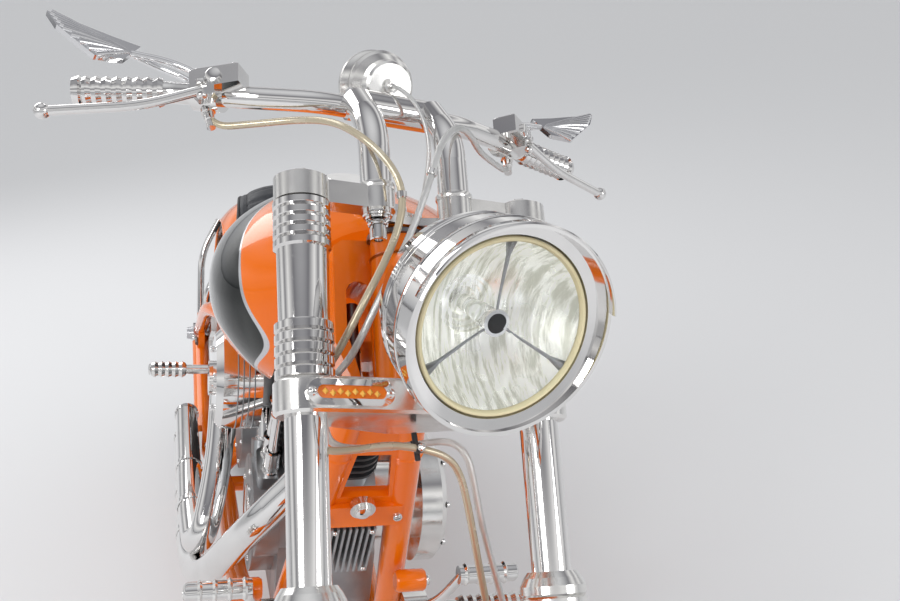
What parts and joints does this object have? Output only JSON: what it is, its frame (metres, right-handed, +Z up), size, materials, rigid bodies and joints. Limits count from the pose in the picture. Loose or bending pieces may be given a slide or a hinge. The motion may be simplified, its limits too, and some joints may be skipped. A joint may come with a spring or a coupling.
{
  "type": "raked custom chopper motorcycle",
  "caption": "Long raked motorcycle with orange frame, chrome fork and vee engine, leaning on its side stand with the front end turned slightly left.",
  "frame": {"origin": "on the floor, straight under the origin of the steering axis frame", "axes": "+Z up from the floor, -Y the way the machine faces, +X the rider's left, towards which it leans"},
  "size_m": [0.7423, 2.3294, 1.1417],
  "materials": {
    "orange_paint": "gloss",
    "tank_paint": "gloss",
    "chrome": "mirror polish",
    "polished_alloy": "polished",
    "cast_alloy": "satin",
    "barrel_black": "satin",
    "dark_steel": "satin",
    "bright_steel": "brushed",
    "tyre_rubber": "matt",
    "seat_cover": "fine grain",
    "lens_glass": "clear",
    "amber_plastic": "gloss",
    "red_plastic": "gloss",
    "mirror_back": "mirror polish",
    "belt_rubber": "matt",
    "hose_sleeve": "clear sleeve over braid",
    "grey_metal": "cast"
  },
  "bodies": {
    "chassis": {"frame_head": "orange_paint", "frame_rails": "orange_paint", "frame_backbone": "orange_paint", "engine_case": "cast_alloy", "cylinders": "barrel_black", "rocker_covers": "polished_alloy", "pushrod_tubes": "chrome", "primary_cover": "polished_alloy", "gearbox": "cast_alloy", "intake": "cast_alloy", "air_cleaner": "chrome", "exhaust_pipes": "chrome", "fuel_tank": "tank_paint", "fuel_cap": "chrome", "seat": "seat_cover", "oil_tank": "orange_paint", "rear_fender": "orange_paint", "fender_struts": "chrome", "tail_lamp": "red_plastic", "trim_boss": "polished_alloy", "regulator": "grey_metal", "foot_controls": "polished_alloy", "pedals": "chrome", "rear_pegs": "polished_alloy", "rear_axle": "bright_steel", "rear_caliper": "polished_alloy", "drive_belt": "belt_rubber", "stand_bracket": "dark_steel"},
    "steering": {"fork_tubes": "chrome", "fork_sleeves": "chrome", "fork_sliders": "polished_alloy", "lower_tree": "polished_alloy", "upper_tree": "polished_alloy", "riser_bolts": "chrome", "handlebar": "chrome", "grips": "chrome", "hand_controls": "chrome", "levers": "chrome", "mirrors": "mirror_back", "gauge_cup": "polished_alloy", "headlamp_shell": "chrome", "headlamp_lens": "lens_glass", "lamp_stay": "polished_alloy", "marker_lamps": "amber_plastic", "front_axle": "bright_steel", "front_caliper": "polished_alloy", "front_fender": "orange_paint", "control_hoses": "hose_sleeve"},
    "front_wheel_set": {"front_tyre": "tyre_rubber", "front_wheel": "chrome", "front_disc": "bright_steel"},
    "rear_wheel_set": {"rear_tyre": "tyre_rubber", "rear_wheel": "chrome", "rear_disc": "bright_steel", "rear_pulley": "polished_alloy"},
    "stand": {"side_stand": "chrome"}
  },
  "joints": [
    {"name": "steering_turn", "type": "hinge", "parent": "chassis", "child": "steering", "pos_m": [0.14725, 0.07134, 0.80929], "axis": [0.1478, 0.5851, 0.7974], "range_deg": [-38, 18]},
    {"name": "front_wheel_spin", "type": "hinge", "parent": "steering", "child": "front_wheel_set", "pos_m": [0.06648, -0.35426, 0.32013], "axis": [0.9498, 0.1408, -0.2794], "continuous": true},
    {"name": "rear_wheel_spin", "type": "hinge", "parent": "chassis", "child": "rear_wheel_set", "pos_m": [0.05567, 1.32909, 0.31519], "axis": [0.9833, 0, -0.1822], "continuous": true},
    {"name": "stand_swing", "type": "hinge", "parent": "chassis", "child": "stand", "pos_m": [0.17264, 0.46947, 0.14513], "axis": [0.9364, -0.0986, 0.3367], "range_deg": [0, 113.1]}
  ]
}
